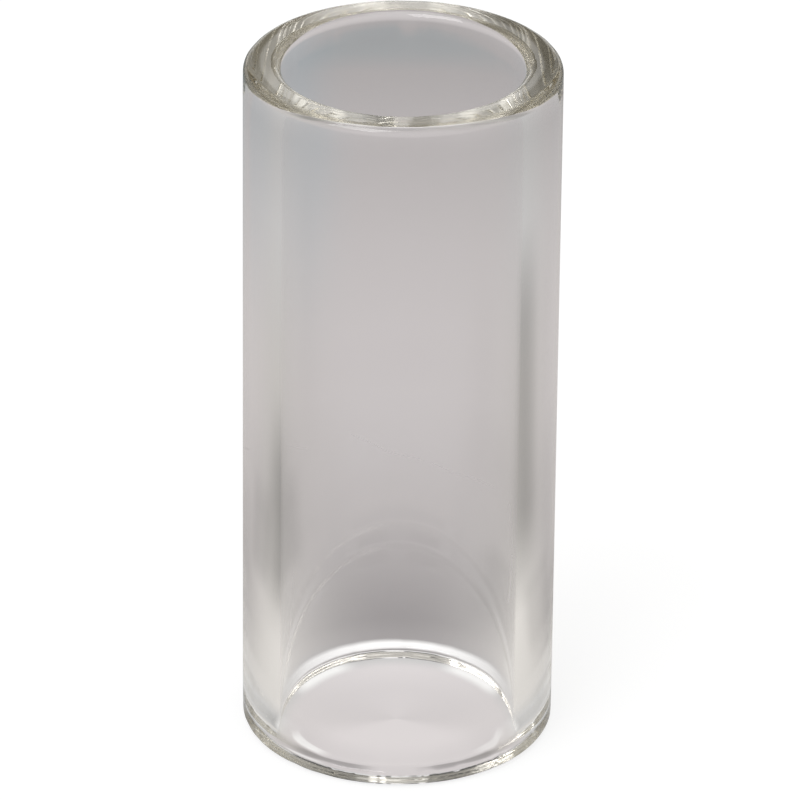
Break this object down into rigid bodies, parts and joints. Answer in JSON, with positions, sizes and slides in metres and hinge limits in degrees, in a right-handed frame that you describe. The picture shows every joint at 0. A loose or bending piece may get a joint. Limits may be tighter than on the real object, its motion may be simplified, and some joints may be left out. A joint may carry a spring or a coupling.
{
  "type": "guitar slide",
  "caption": "Clear glass guitar slide: a heavy-wall tube, open right through, with fire-polished rounded lips at both ends.",
  "frame": {"origin": "centre of the end that the slide stands on, on the bore's axis", "axes": "+Z along the bore's axis, up from the end it stands on; +X and +Y are equal, as the tube is round"},
  "size_m": [0.029, 0.029, 0.067],
  "materials": {
    "glass": "clear drawn glass, polished, with fire-polished ends"
  },
  "bodies": {
    "root": {"glass_tube": "glass"}
  },
  "joints": []
}
